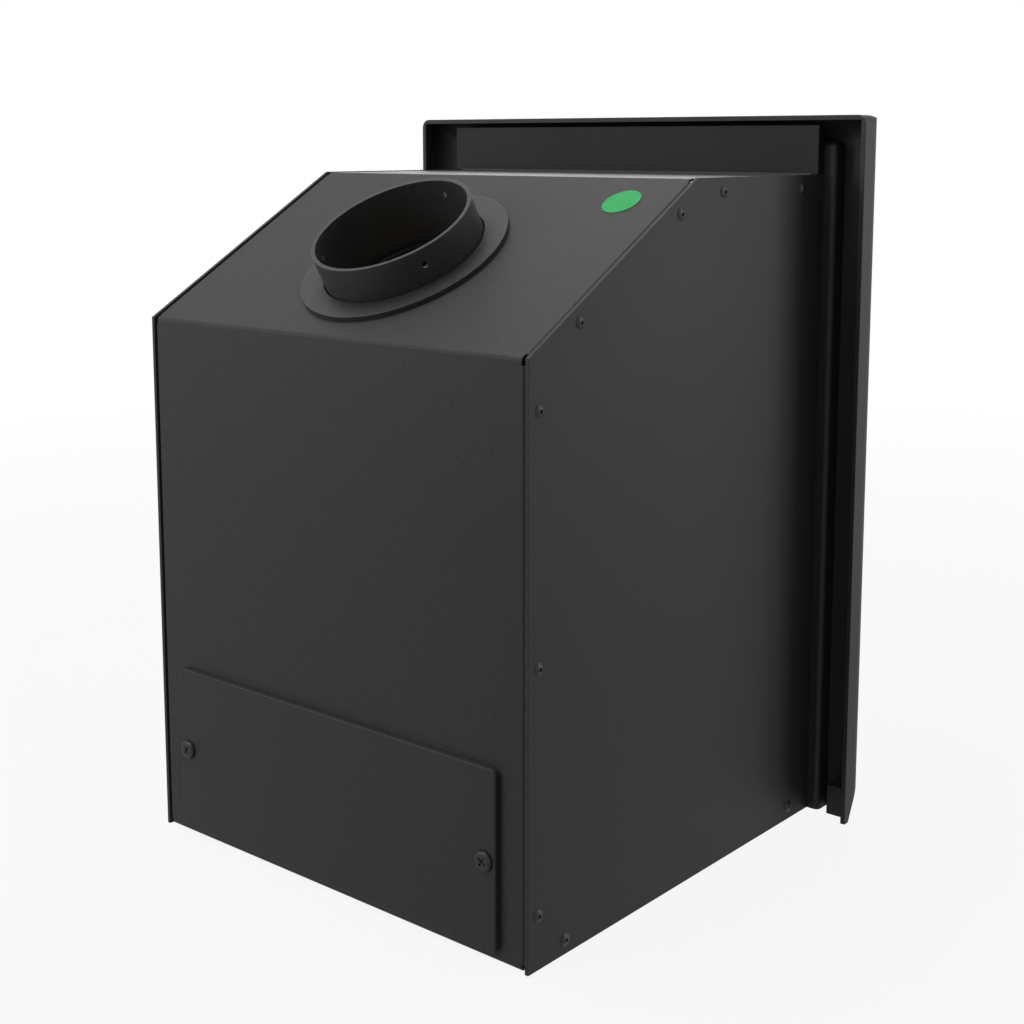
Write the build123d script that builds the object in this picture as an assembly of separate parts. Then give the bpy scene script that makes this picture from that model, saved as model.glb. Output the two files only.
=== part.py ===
from build123d import *
import os
from math import atan2, cos, radians, sin, tan

# Inset multi-fuel stove, in millimetres. The origin is on the hearth, on the centreline and in the plane of the
# wall that the fascia closes against. +X is to the right as seen from the room, +Y goes into the fireplace and
# +Z is up. Every solid is in its place with the door shut, its latch released, and all slides pushed home.

# Clearances
free = 0.3
running = 0.05
seal_nip = 0.3

# Casing, the sheet-metal box that the convection air rises through
casing_width = 400
casing_depth = 381
casing_back_height = 434
casing_top_height = 549
casing_top_depth = 184.5
casing_set_back = -12
wrap_sheet = 2
wrap_bend = 1.5
panel_sheet = 3
panel_proud = 0.6
side_flange = 22
up_flange_height = 40
up_flange_set_back = 9.7
relief_length = 5
base_sheet = 2.5
base_flange = 20

# Screws of the side panels, all the same distance from the edge that they follow
panel_screw_inset = 11
panel_screw_head = 4.75
panel_screw_head_height = 1.9
panel_screw_dome = 7.6
panel_screw_shank = 2.4
panel_screw_length = 8
panel_screw_socket = 1.6
back_screw_from_hearth = 40.5
back_screw_from_bend = 36.5
slope_screw_from_rear_bend = 57
slope_screw_from_top_bend = 32.7
top_screw_places = (22, 138.5)
bottom_screw_places = (20.4, 327.7)

# Rear access cover and the air inlet behind it
cover_width = 347
cover_height = 136
cover_bottom = 8
cover_sheet = 2
cover_lip = 2.6
cover_corner = 5
cover_screw_spacing = 326
cover_screw_height = 75.5
cover_screw_head = 7.5
cover_screw_head_height = 3
cover_screw_shank = 2.6
cover_screw_length = 10
cover_slot = 8
inlet_width = 280
inlet_height = 96

# Flue collar on the sloping top
flue_bore = 125
collar_wall = 3
collar_height = 31.1
collar_run = 104.9
collar_flange = 80
collar_flange_thickness = 4
collar_gasket = 2
collar_ledge = 56
collar_bolt_circle = 72
collar_bolt_count = 4
collar_bolt_head_height = 4
collar_hole = 2.5
collar_hole_height = 18
collar_hole_count = 3
trim_outer = 85.5
trim_gap = 1.2
trim_thickness = 4
casing_flue_gap = 3

# Small round inspection label on the slope
label_diameter = 31
label_thickness = 0.3
label_side = 151
label_run = 193.3

# Firebox, welded from plate
firebox_width = 344
firebox_plate = 5
convection_gap = 21.4
runner_height = 21.5
runner_spacing = 220
runner_width = 30
ash_bay_height = 84

# Fire bricks, grate, baffle
brick = 25
brick_top_gap = 13
brick_front = 24
retainer_width = 17
retainer_sheet = 3
baffle_thickness = 20
baffle_rise = 58
baffle_front = 75
baffle_drop = 28
baffle_side_gap = 2
support_width = 15
support_sheet = 3
deflector_height = 50
deflector_set_back = 22
deflector_sheet = 2
grate_length = 216
grate_width = 224
grate_front = 56
grate_lip = 6
grate_lip_thickness = 4
grate_bar = 10
grate_bars = 9
grate_depth = 10
shaker_thickness = 8
shaker_drop = 4
shaker_lap = 1
shaker_travel = 18
shaker_runner = 3
rod_radius = 4
rod_spigot = 2.4
rod_side = 90
rod_knob_radius = 8
rod_knob_length = 18
rod_knob_clear = 2
rod_knob_round = 2.5
rod_knob_socket = 4
guard_height = 40
guard_drop = 8
guard_gap = 4
guard_bar = 12
guard_low_rail = 9
guard_high_rail = 8
guard_opening_round = 6
guard_thickness = 7
guard_pickets = 6
duct_width = 120
duct_depth = 13
duct_over_holes = 29
duct_sheet = 1.5
tertiary_holes = 7
tertiary_radius = 3
tertiary_spacing = 16
tertiary_height = 300

# Fascia, one casting with a raised border, a rear channel and a rim against the wall
fascia_width = 487
fascia_height = 597
fascia_skin = 5
moulding_depth = 16
rim_wall = 4
rim_side = 11.6
bevel_width = 18.5
rim_corner = 8
channel_corner = 0.5
rib_side = 211
rib_top = 575
rib_round = 5
lip_round = 3
foot_pad_width = 24
foot_pad_height = 26
foot_clip_start = 6
foot_clip_run = 10
foot_clip_height = 20
foot_clip_width = 20

# Openings in the fascia
mouth_width = 320
mouth_height = 350
mouth_sill = 15
mouth_corner = 12
hatch_width = 276
hatch_height = 62
hatch_corner = 4
wash_slot_width = 23
wash_slot_height = 8
wash_spacing = 50
wash_height = 509
warm_slot_height = 12
warm_slot_width = 86
warm_height = 538
cool_slot_width = 80
cool_slot_height = 11
cool_height = 12
vent_spacing = 100

# Fire door
door_lap = 19
door_gap = 3
door_thickness = 22
door_corner = 10
door_frame_bar = 50
door_edge_round = 5
window_corner = 16
glass_lap = 11
glass_thickness = 4
glass_gasket = 2
glass_clearance = 1
rope_width = 6
rope_inset = 3.5
rope_groove = 2.5
clip_width = 20
clip_reach = 10
clip_sheet = 1.5
clip_side = 80
clip_screw = 3
clip_screw_length = 7
clip_screw_head_height = 1.8

# Hinges, on the left seen from the room
hinge_side = 188
hinge_front = 31
hinge_pin = 4
hinge_boss = 8
hinge_height = 30
hinge_ear = 12
hinge_cap = 2
hinge_heights = (140, 446)

# Door handle and latch
handle_side = 149.5
shaft_radius = 5
shaft_shoulder = 6.5
handle_length = 96
handle_hub = 11
handle_hub_depth = 14
grip_radius = 9
grip_length = 54.5
lever_thickness = 9
lever_half_width = 5
spindle_radius = 3
cam_reach = 15.5
cam_thickness = 5
cam_half_width = 5
nut_radius = 6.2
nut_height = 5
keeper_thickness = 3
keeper_height = 30

# Ash drawer and air wheel
drawer_lap = 6
drawer_front_thickness = 8
drawer_pan_length = 310
pan_sheet = 1.5
pan_side_gap = 4
pan_height = 55
drawer_knob_side = 98
drawer_knob_radius = 11
drawer_knob_length = 26
drawer_knob_thickness = 12
drawer_knob_round = 4
drawer_gap = 2
wheel_radius = 29
wheel_thickness = 5
wheel_hole = 6
wheel_hole_circle = 18
wheel_holes = 4
wheel_bolt = 4
wheel_bolt_head = 7
wheel_knob_radius = 3.5
wheel_knob_length = 10
seal_width = 4
seal_groove = 2

# Airwash slider
slider_sheet = 3
slider_height = 14
slider_travel = 25
slider_knob_radius = 5.5
slider_knob_length = 16
slider_stem = 3
guide_height = 3
guide_lip = 2

# Brackets and bolts that hold the fascia on the firebox
bracket_height = 40
bracket_sheet = 4
bracket_reach = 24
bracket_leg = 30
bracket_heights = (70, 495)
fascia_bolt = 3
fascia_bolt_head = 6
fascia_bolt_head_height = 3.3

# Places that follow from the sizes above
casing_front = casing_set_back
casing_back = casing_front + casing_depth
casing_half = casing_width / 2
panel_inner = casing_half - panel_sheet
wrap_half = panel_inner - free
knee_y = casing_front + casing_top_depth
slope = atan2(casing_top_height - casing_back_height, casing_back - knee_y)
up_flange_y = casing_front + up_flange_set_back
firebox_inset = panel_proud + wrap_sheet + convection_gap
firebox_half = firebox_width / 2
firebox_inner_half = firebox_half - firebox_plate
firebox_back = casing_back - firebox_inset
firebox_back_inner = firebox_back - firebox_plate
firebox_top_inner = casing_top_height - firebox_inset - firebox_plate
floor_low = base_sheet + runner_height
floor_top = floor_low + firebox_plate
shelf_low = floor_top + ash_bay_height
shelf_top = shelf_low + firebox_plate
plate_front = casing_front - fascia_skin
border_front = plate_front - moulding_depth
channel_floor = border_front + fascia_skin
mouth_low = shelf_top + mouth_sill
mouth_high = mouth_low + mouth_height
mouth_half = mouth_width / 2
hatch_low = floor_top - 1
hatch_high = hatch_low + hatch_height
hatch_half = hatch_width / 2
door_back = plate_front - door_gap
door_front = door_back - door_thickness
door_half = mouth_half + door_lap
door_low = mouth_low - door_lap
door_high = mouth_high + door_lap
window_half = door_half - door_frame_bar
window_low = door_low + door_frame_bar
window_high = door_high - door_frame_bar
door_middle = (door_low + door_high) / 2
collar_outer = flue_bore / 2 + collar_wall
slope_plane = Plane(origin=(0, casing_back, casing_back_height), x_dir=(-1, 0, 0),
                    z_dir=(0, sin(slope), cos(slope)))
shaker_top = shelf_low - shaker_drop
rod_height = shaker_top - shaker_thickness / 2
parts = {}


def block(x0, x1, y0, y1, z0, z1):
    """A plain rectangular solid between two corners."""
    size = Box(x1 - x0, y1 - y0, z1 - z0, align=(Align.MIN, Align.MIN, Align.MIN))
    return Pos(x0, y0, z0) * size


def side_prism(outline, x0, x1):
    """A solid with the outline given as (y, z) points, from x0 to x1."""
    return extrude(Plane.YZ.offset(x0) * Polygon(*outline, align=None), x1 - x0)


def front_prism(sketch, y0, y1):
    """A solid with the (x, z) sketch, from y0 to y1."""
    return extrude(Plane.XZ.offset(-y1) * sketch, y1 - y0)


def rounded(x0, x1, z0, z1, corner):
    """A rounded rectangle as an (x, z) sketch."""
    return Pos((x0 + x1) / 2, (z0 + z1) / 2) * RectangleRounded(x1 - x0, z1 - z0, corner)


def pin_y(x, z, radius, y0, y1):
    """A round pin along Y."""
    return front_prism(Pos(x, z) * Circle(radius), y0, y1)


def pin_z(x, y, radius, z0, z1):
    """A round pin along Z."""
    return Pos(x, y, (z0 + z1) / 2) * Cylinder(radius, z1 - z0)


def pin_x(y, z, radius, x0, x1):
    """A round pin along X."""
    return Pos((x0 + x1) / 2, y, z) * Rot(0, 90, 0) * Cylinder(radius, x1 - x0)


def hexagon_y(x, z, radius, y0, y1):
    """A hexagonal bar along Y."""
    return front_prism(Pos(x, z) * RegularPolygon(radius, 6), y0, y1)


def on_slope(across, run, low, high, sketch):
    """A solid that stands on the casing's slope, at a distance up it from the rear bend."""
    return extrude(slope_plane.offset(low) * Pos(-across, run) * sketch, high - low)


def casing_section(inset, front, bottom):
    """The casing's side outline as (y, z) points, moved inwards by the inset."""
    top = casing_top_height - inset
    back = casing_back - inset
    knee = (knee_y - inset * tan(slope / 2), top)
    foot = (back, casing_back_height - inset * tan((radians(90) - slope) / 2))
    return [(front, bottom), (back, bottom), foot, knee, (front, top)]


def group(solids):
    """Like pieces that share one node, as separate solids."""
    return Compound(children=[s.solid() for s in solids])


# Casing wrap: one sheet folded into back, slope and top, with a flange at each side and one that stands up
bend_outer = wrap_bend + wrap_sheet
sheet_half = wrap_half - bend_outer
wrap_front = up_flange_y - wrap_sheet
up_flange_top = casing_top_height + up_flange_height
wrap_outer = casing_section(panel_proud, up_flange_y, panel_proud)
wrap_inner = casing_section(panel_proud + wrap_sheet, wrap_front, panel_proud + wrap_sheet)
hem_y = casing_back - panel_proud - side_flange
sheet_outline = [(hem_y, panel_proud)] + wrap_outer[1:]
sheet_outline += [(up_flange_y, up_flange_top), (wrap_front, up_flange_top)]
sheet_outline += wrap_inner[:0:-1] + [(hem_y, panel_proud + wrap_sheet)]
sheet_face = Polygon(*sheet_outline, align=None)


def corners_near(face, points):
    """The face's vertices that lie at the given points."""
    return [v for v in face.vertices() if min(abs(v.X - y) + abs(v.Y - z) for y, z in points) < 0.01]


sheet_face = fillet(corners_near(sheet_face, wrap_outer[1:4] + wrap_inner[4:]), bend_outer)
sheet_face = fillet(corners_near(sheet_face, wrap_inner[1:4] + wrap_outer[4:]), wrap_bend)
wrap = extrude(Plane.YZ.offset(-sheet_half) * sheet_face, 2 * sheet_half)


def bent_edge():
    """Section of a side bend and its flange, as (distance across, distance outwards)."""
    arc = sin(radians(45))
    edge = ThreePointArc((sheet_half, 0), (sheet_half + arc * bend_outer, arc * bend_outer - bend_outer),
                         (wrap_half, -bend_outer))
    edge += Polyline((wrap_half, -bend_outer), (wrap_half, -side_flange),
                     (wrap_half - wrap_sheet, -side_flange), (wrap_half - wrap_sheet, -bend_outer))
    edge += ThreePointArc((wrap_half - wrap_sheet, -bend_outer),
                          (sheet_half + arc * wrap_bend, arc * wrap_bend - bend_outer),
                          (sheet_half, -wrap_sheet))
    edge += Line((sheet_half, -wrap_sheet), (sheet_half, 0))
    return make_face(edge)


for start, end in zip(wrap_outer[1:4], wrap_outer[2:5]):
    run = Vector(0, end[0] - start[0], end[1] - start[1])
    along = run.normalized()
    relief = relief_length if end is not wrap_outer[4] else relief_length / 2
    plane = Plane(origin=Vector(0, *start) + along * relief_length, x_dir=(1, 0, 0), z_dir=along)
    flange_bar = extrude(plane * bent_edge(), run.length - relief_length - relief)
    wrap = wrap + flange_bar + mirror(flange_bar, Plane.YZ)
flange_low = casing_top_height + free
for side in (-1, 1):
    x0, x1 = sorted((side * sheet_half, side * casing_half))
    wrap += block(x0, x1, wrap_front, up_flange_y, flange_low, up_flange_top)
    x0, x1 = sorted((side * (casing_half - wrap_sheet), side * casing_half))
    wrap += block(x0, x1, casing_front + free, wrap_front, flange_low, up_flange_top)
inlet_low = cover_bottom + (cover_height - inlet_height) / 2
wrap -= block(-inlet_width / 2, inlet_width / 2, firebox_back, casing_back + 1, inlet_low,
              inlet_low + inlet_height)
for side in (-1, 1):
    wrap -= pin_y(side * cover_screw_spacing / 2, cover_screw_height, cover_screw_shank + running,
                  firebox_back, casing_back + 1)
wrap -= on_slope(0, collar_run, -convection_gap, 1, Circle(collar_outer + casing_flue_gap))


def panel_screw_places():
    """(y, z) of each screw of a side panel."""
    low = panel_screw_inset
    high = casing_back_height - back_screw_from_bend
    middle = (back_screw_from_hearth + high) / 2
    places = [(casing_back - low, z) for z in (back_screw_from_hearth, middle, high)]
    places += [(y, casing_top_height - low) for y in top_screw_places]
    places += [(y, low) for y in bottom_screw_places]
    slope_length = (casing_back - knee_y) / cos(slope)
    for run in (slope_screw_from_rear_bend, slope_length - slope_screw_from_top_bend):
        y = casing_back - run * cos(slope) - low * sin(slope)
        z = casing_back_height + run * sin(slope) - low * cos(slope)
        places.append((y, z))
    return places


# Base tray: the sheet that the stove stands on, with upturned sides and rear
tray_half = panel_inner - free
tray_back = casing_back - panel_proud - side_flange - free
tray_section = [(-tray_half, 0), (tray_half, 0), (tray_half, base_flange),
                (tray_half - base_sheet, base_flange), (tray_half - base_sheet, base_sheet),
                (base_sheet - tray_half, base_sheet), (base_sheet - tray_half, base_flange),
                (-tray_half, base_flange)]
tray = front_prism(Polygon(*tray_section, align=None), casing_front, tray_back)
tray += block(-tray_half, tray_half, tray_back - base_sheet, tray_back, 0, base_flange)

# Side panels: flat sheets that close the casing and carry its screws
for name, side in (("left_side_panel", -1), ("right_side_panel", 1)):
    x0, x1 = sorted((side * panel_inner, side * casing_half))
    panel = side_prism(casing_section(0, casing_front, 0), x0, x1)
    for y, z in panel_screw_places():
        hole = pin_x(y, z, panel_screw_shank + running, x0 - panel_screw_length, x1 + panel_screw_length)
        panel -= hole
        wrap -= hole
        tray -= hole
    parts[name] = panel
parts["casing_wrap"] = wrap
parts["base_tray"] = tray

# Side panel screws: button heads with a hexagon socket
panel_screws = []
for side in (-1, 1):
    for y, z in panel_screw_places():
        dome = Pos(0, 0, panel_screw_head_height - panel_screw_dome) * Sphere(panel_screw_dome)
        head = dome & Pos(0, 0, panel_screw_head) * Cylinder(panel_screw_head, 2 * panel_screw_head)
        shank = Pos(0, 0, -panel_screw_length / 2) * Cylinder(panel_screw_shank, panel_screw_length)
        socket_floor = Plane.XY.offset(panel_screw_head_height / 3)
        socket = extrude(socket_floor * RegularPolygon(panel_screw_socket, 6), panel_screw_head)
        screw = head + shank - socket
        panel_screws.append(Pos(side * casing_half, y, z) * Rot(0, 90 * side, 0) * screw)
parts["side_panel_screws"] = group(panel_screws)

# Rear access cover: a shallow folded lid over the air inlet, held by two pan-head screws
cover_back = casing_back - panel_proud
cover_half = cover_width / 2
cover = front_prism(rounded(-cover_half, cover_half, cover_bottom, cover_bottom + cover_height, cover_corner),
                    cover_back, cover_back + cover_lip + cover_sheet)
cover = fillet(cover.faces().sort_by(Axis.Y)[-1].edges(), cover_sheet * 0.6)
cover -= front_prism(rounded(cover_sheet - cover_half, cover_half - cover_sheet, cover_bottom + cover_sheet,
                             cover_bottom + cover_height - cover_sheet, cover_corner - cover_sheet),
                     cover_back, cover_back + cover_lip)
cover_screws = []
cover_face = cover_back + cover_lip + cover_sheet
for side in (-1, 1):
    x = side * cover_screw_spacing / 2
    boss = pin_y(x, cover_screw_height, cover_screw_head, cover_back, cover_back + cover_lip)
    cover = cover + boss - pin_y(x, cover_screw_height, cover_screw_shank + running, cover_back, cover_face)
    head = pin_y(x, cover_screw_height, cover_screw_head, cover_face, cover_face + cover_screw_head_height)
    head = fillet(head.faces().sort_by(Axis.Y)[-1].edges(), cover_screw_head_height * 0.7)
    slot_depth = cover_face + cover_screw_head_height / 2
    for turn in (35, 125):
        bar = Pos(x, cover_screw_height) * Rot(0, 0, turn) * Rectangle(cover_slot, cover_slot / 6)
        head -= front_prism(bar, slot_depth, cover_face + cover_screw_head_height + 1)
    cover_screws.append(head + pin_y(x, cover_screw_height, cover_screw_shank, cover_face - cover_screw_length,
                                     cover_face))
parts["rear_access_cover"] = cover
parts["access_cover_screws"] = group(cover_screws)

# Flue collar: a cast ring on the firebox slope that stands out through the casing
collar_seat = collar_gasket - firebox_inset
collar = on_slope(0, collar_run, collar_seat, collar_height, Circle(collar_outer))
collar += on_slope(0, collar_run, collar_seat, collar_seat + collar_flange_thickness, Circle(collar_flange))
collar -= on_slope(0, collar_run, collar_seat - 1, collar_height + 1, Circle(flue_bore / 2))
gasket = on_slope(0, collar_run, -firebox_inset, collar_seat, Circle(collar_flange) - Circle(collar_ledge + 2))
for index in range(collar_hole_count):
    angle = 90 + 360 / collar_hole_count * index
    hole_axis = slope_plane.offset(collar_hole_height) * Pos(0, collar_run) * Rot(0, 0, angle) * Rot(0, 90, 0)
    collar -= hole_axis * Pos(0, 0, collar_outer) * Cylinder(collar_hole, 6 * collar_wall)
collar_bolts = []
firebox_flue_holes = on_slope(0, collar_run, -2 * firebox_inset, 0, Circle(collar_ledge))
for index in range(collar_bolt_count):
    angle = radians(45 + 360 / collar_bolt_count * index)
    across = collar_bolt_circle * sin(angle)
    run = collar_run + collar_bolt_circle * cos(angle)
    bolt_low = -firebox_inset - firebox_plate - 2
    bolt_hole = on_slope(across, run, bolt_low - 1, 0, Circle(fascia_bolt + running))
    collar -= bolt_hole
    gasket -= bolt_hole
    firebox_flue_holes += bolt_hole
    head_low = collar_seat + collar_flange_thickness
    bolt = on_slope(across, run, bolt_low, head_low, Circle(fascia_bolt))
    head = on_slope(across, run, head_low, head_low + collar_bolt_head_height,
                    RegularPolygon(fascia_bolt_head, 6))
    collar_bolts.append(bolt + head)
parts["flue_collar"] = collar
parts["collar_gasket"] = gasket
parts["collar_bolts"] = group(collar_bolts)

# Trim ring: closes the gap between the collar and the casing
parts["flue_trim_ring"] = on_slope(0, collar_run, -panel_proud, trim_thickness - panel_proud,
                                   Circle(trim_outer) - Circle(collar_outer + trim_gap))

# Inspection label: a bare round sticker
parts["inspection_label"] = on_slope(-label_side, label_run, -panel_proud, label_thickness - panel_proud,
                                     Circle(label_diameter / 2))

# Firebox: two sides, back, floor, shelf and a folded top, all plate
firebox_outline = casing_section(firebox_inset, casing_front, floor_low)
inner_outline = casing_section(firebox_inset + firebox_plate, casing_front, floor_top)
for name, side in (("firebox_left_side", -1), ("firebox_right_side", 1)):
    x0, x1 = sorted((side * firebox_inner_half, side * firebox_half))
    parts[name] = side_prism(inner_outline, x0, x1)
parts["firebox_floor"] = block(-firebox_half, firebox_half, casing_front, firebox_back, floor_low, floor_top)
firebox_back_plate = block(-firebox_half, firebox_half, firebox_back_inner, firebox_back, floor_top,
                           inner_outline[2][1])
firebox_top = side_prism(firebox_outline, -firebox_half, firebox_half)
firebox_top -= side_prism(casing_section(firebox_inset + firebox_plate, casing_front - 1, floor_low - 1),
                          -firebox_half, firebox_half)
firebox_top -= block(-firebox_half, firebox_half, firebox_back_inner - 1, firebox_back + 1, floor_low - 1,
                     inner_outline[2][1])
firebox_top -= firebox_flue_holes
parts["firebox_top"] = firebox_top
shelf = block(-firebox_inner_half, firebox_inner_half, casing_front, firebox_back_inner, shelf_low, shelf_top)
grate_half = grate_width / 2
grate_back = grate_front + grate_length
shelf -= block(-grate_half, grate_half, grate_front, grate_back, shelf_low - 1, shelf_top + 1)
parts["grate_shelf"] = shelf

# Line of the sloping throat plate, which hangs under the firebox top and sets how tall the fire bricks can be
rear_brick_front = firebox_back_inner - free - brick
baffle_rear = firebox_back_inner - free
baffle_low = inner_outline[2][1] - baffle_drop
baffle_slope = baffle_rise / (baffle_rear - baffle_front)
support_front = baffle_front + 2 * support_width
support_back = rear_brick_front - support_width


def baffle_line(y):
    """Height of the throat plate's underside."""
    return baffle_low + (baffle_rear - y) * baffle_slope


brick_top = baffle_line(support_back) - support_width - brick_top_gap

# Tertiary air: a duct up the back feeds a row of holes through the plate and the rear brick
rear_brick = block(free - firebox_inner_half, firebox_inner_half - free, rear_brick_front,
                   firebox_back_inner - free, shelf_top, brick_top)
for index in range(tertiary_holes):
    x = (index - (tertiary_holes - 1) / 2) * tertiary_spacing
    hole = pin_y(x, tertiary_height, tertiary_radius, rear_brick_front - 1, firebox_back + 1)
    firebox_back_plate -= hole
    rear_brick -= hole
parts["firebox_back"] = firebox_back_plate
parts["rear_fire_brick"] = rear_brick
duct_low = floor_top
duct_high = tertiary_height + duct_over_holes
duct = block(-duct_width / 2, duct_width / 2, firebox_back, firebox_back + duct_depth, duct_low, duct_high)
duct -= block(duct_sheet - duct_width / 2, duct_width / 2 - duct_sheet, firebox_back,
              firebox_back + duct_depth - duct_sheet, duct_low - 1, duct_high - duct_sheet)
parts["rear_air_duct"] = duct

# Floor runners: channels that carry the firebox above the base tray
runners = []
for side in (-1, 1):
    x = side * runner_spacing / 2
    x0 = x - runner_width / 2
    channel = block(x0, x0 + runner_width, 2 * firebox_plate, firebox_back_inner, base_sheet, floor_low)
    channel -= block(x0 + base_sheet, x0 + 2 * runner_width, 2 * firebox_plate, firebox_back_inner,
                     2 * base_sheet, floor_low - base_sheet)
    runners.append(channel)
parts["floor_runners"] = group(runners)

# Side fire bricks, and the strips that keep them from tipping forwards
for name, side in (("left_fire_brick", -1), ("right_fire_brick", 1)):
    x0, x1 = sorted((side * (firebox_inner_half - free - brick), side * (firebox_inner_half - free)))
    parts[name] = block(x0, x1, brick_front, rear_brick_front - free, shelf_top, brick_top)
strips = []
strip_back = brick_front - free
for side in (-1, 1):
    x0, x1 = sorted((side * (firebox_inner_half - retainer_width), side * firebox_inner_half))
    strips.append(block(x0, x1, strip_back - retainer_sheet, strip_back, shelf_top, brick_top))
parts["brick_retainers"] = group(strips)

# Throat plate: the sloping baffle that sends smoke forwards before it reaches the flue
baffle_outline = [(baffle_rear, baffle_low), (baffle_rear, baffle_low + baffle_thickness),
                  (baffle_front, baffle_line(baffle_front) + baffle_thickness),
                  (baffle_front, baffle_line(baffle_front))]
baffle_half = firebox_inner_half - baffle_side_gap
parts["throat_plate"] = side_prism(baffle_outline, -baffle_half, baffle_half)
supports = []
for side in (-1, 1):
    ledge = [(support_back, baffle_line(support_back)), (support_front, baffle_line(support_front)),
             (support_front, baffle_line(support_front) - support_sheet),
             (support_back, baffle_line(support_back) - support_sheet)]
    leg = [(support_back, baffle_line(support_back)), (support_front, baffle_line(support_front)),
           (support_front, baffle_line(support_front) - support_width),
           (support_back, baffle_line(support_back) - support_width)]
    x0, x1 = sorted((side * (firebox_inner_half - support_width), side * firebox_inner_half))
    angle_bar = side_prism(ledge, x0, x1)
    x0, x1 = sorted((side * (firebox_inner_half - support_sheet), side * firebox_inner_half))
    supports.append(angle_bar + side_prism(leg, x0, x1))
parts["throat_supports"] = group(supports)

# Airwash deflector: hangs from the top and turns the air down over the glass
deflector_front = casing_front + deflector_set_back
deflector = block(free - firebox_inner_half, firebox_inner_half - free, deflector_front,
                  deflector_front + deflector_sheet, firebox_top_inner - deflector_height, firebox_top_inner)
deflector += block(free - firebox_inner_half, firebox_inner_half - free, deflector_front,
                   deflector_front + support_width, firebox_top_inner - deflector_sheet, firebox_top_inner)
parts["airwash_deflector"] = deflector

# Fixed grate: a cast frame of bars that drops into the shelf
grate = block(free - grate_half, grate_half - free, grate_front + free, grate_back - free,
              shelf_top - grate_depth + grate_lip_thickness, shelf_top + grate_lip_thickness)
grate += block(-grate_half - grate_lip, grate_half + grate_lip, grate_front - grate_lip, grate_back + grate_lip,
               shelf_top, shelf_top + grate_lip_thickness)
bar_pitch = (grate_length - grate_bar) / grate_bars
for index in range(grate_bars):
    y = grate_front + grate_bar + index * bar_pitch
    grate -= block(grate_bar - grate_half, grate_half - grate_bar, y, y + bar_pitch - grate_bar,
                   shelf_low - 1, shelf_top + grate_lip_thickness + 1)
parts["fixed_grate"] = grate

# Riddling grate: a slotted plate that slides under the fixed bars
shaker_half = grate_half + shaker_lap
shaker_low = shaker_top - shaker_thickness
shaker_front = grate_front + shaker_travel
shaker_back = grate_back
shaker = block(-shaker_half, shaker_half, shaker_front, shaker_back, shaker_low, shaker_top)
for index in range(grate_bars - 1):
    y = shaker_front + grate_bar + index * bar_pitch
    shaker -= block(grate_bar - shaker_half, shaker_half - grate_bar, y, y + bar_pitch - grate_bar,
                    shaker_low - 1, shaker_top + 1)
rod_end = shaker_front + grate_bar
rod_bore = pin_y(rod_side, rod_height, rod_spigot + running, shaker_front - 1, rod_end - 1)
parts["riddling_grate"] = shaker - rod_bore
hangers = []
for side in (-1, 1):
    x0, x1 = sorted((side * (shaker_half - grate_bar), side * (shaker_half + free + shaker_runner)))
    hanger_low = shaker_low - free - shaker_runner
    hanger = block(x0, x1, grate_front, shaker_back, hanger_low, shaker_low - free)
    x0, x1 = sorted((side * (shaker_half + free), side * (shaker_half + free + shaker_runner)))
    hanger += block(x0, x1, grate_front, shaker_back, hanger_low, shelf_low)
    hangers.append(hanger)
parts["grate_runners"] = group(hangers)

# Riddling rod and its knob, between the ash drawer and the door
knob_back = door_front - rod_knob_clear
rod = pin_y(rod_side, rod_height, rod_radius, knob_back - rod_knob_socket, shaker_front)
rod += pin_y(rod_side, rod_height, rod_spigot, shaker_front, rod_end - 1)
parts["riddling_rod"] = rod
knob = pin_y(rod_side, rod_height, rod_knob_radius, knob_back - rod_knob_length, knob_back)
knob = fillet(knob.edges(), rod_knob_round)
parts["riddling_knob"] = knob - pin_y(rod_side, rod_height, rod_radius + running,
                                      knob_back - rod_knob_socket, knob_back + 1)

# Fuel guard: a cast fence that drops into two brackets behind the door
guard_back = strip_back - retainer_sheet - guard_gap
guard_front = guard_back - guard_thickness
guard_half = firebox_inner_half - guard_gap
guard_low = mouth_low - guard_drop
guard = block(-guard_half, guard_half, guard_front, guard_back, guard_low, guard_low + guard_height)
guard_pitch = (mouth_width - 2 * grate_bar) / guard_pickets
for index in range(guard_pickets):
    x = (index - (guard_pickets - 1) / 2) * guard_pitch
    half_opening = (guard_pitch - guard_bar) / 2
    opening = rounded(x - half_opening, x + half_opening, guard_low + guard_low_rail,
                      guard_low + guard_height - guard_high_rail, guard_opening_round)
    guard -= front_prism(opening, guard_front - 1, guard_back + 1)
parts["fuel_guard"] = guard
brackets = []
for side in (-1, 1):
    x0, x1 = sorted((side * (firebox_inner_half - retainer_width + retainer_sheet), side * firebox_inner_half))
    bracket = block(x0, x1, guard_front - guard_gap, strip_back - retainer_sheet, shelf_top,
                    guard_low + guard_height / 2)
    slot = block(x0 - 1, x1 + 1, guard_front - free, guard_back + free, guard_low,
                 guard_low + guard_height)
    brackets.append(bracket - slot)
parts["guard_brackets"] = group(brackets)

# Fascia: the casting that covers the fireplace opening
fascia_half = fascia_width / 2


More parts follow.
